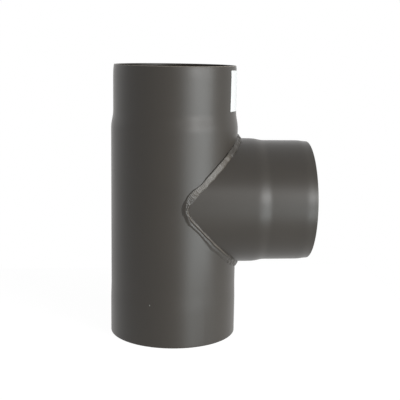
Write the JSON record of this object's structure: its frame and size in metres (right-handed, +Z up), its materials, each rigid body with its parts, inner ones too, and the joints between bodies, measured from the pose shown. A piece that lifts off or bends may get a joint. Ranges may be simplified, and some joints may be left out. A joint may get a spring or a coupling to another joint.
{
  "type": "stove pipe tee",
  "caption": "Welded steel stove pipe tee with a socket below, a drawn-in spigot above and a spigot branch at a right angle.",
  "frame": {"origin": "centre of the lower rim, where the main pipe stands", "axes": "+Z up the main pipe, +X along the branch"},
  "size_m": [0.2425, 0.1568, 0.33],
  "materials": {
    "stove_paint": "satin heat-resistant paint, dark grey",
    "label_paper": "plain white coated paper"
  },
  "bodies": {
    "root": {"main_pipe": "stove_paint", "branch_pipe": "stove_paint", "weld_bead": "stove_paint", "blank_label": "label_paper"}
  },
  "joints": []
}
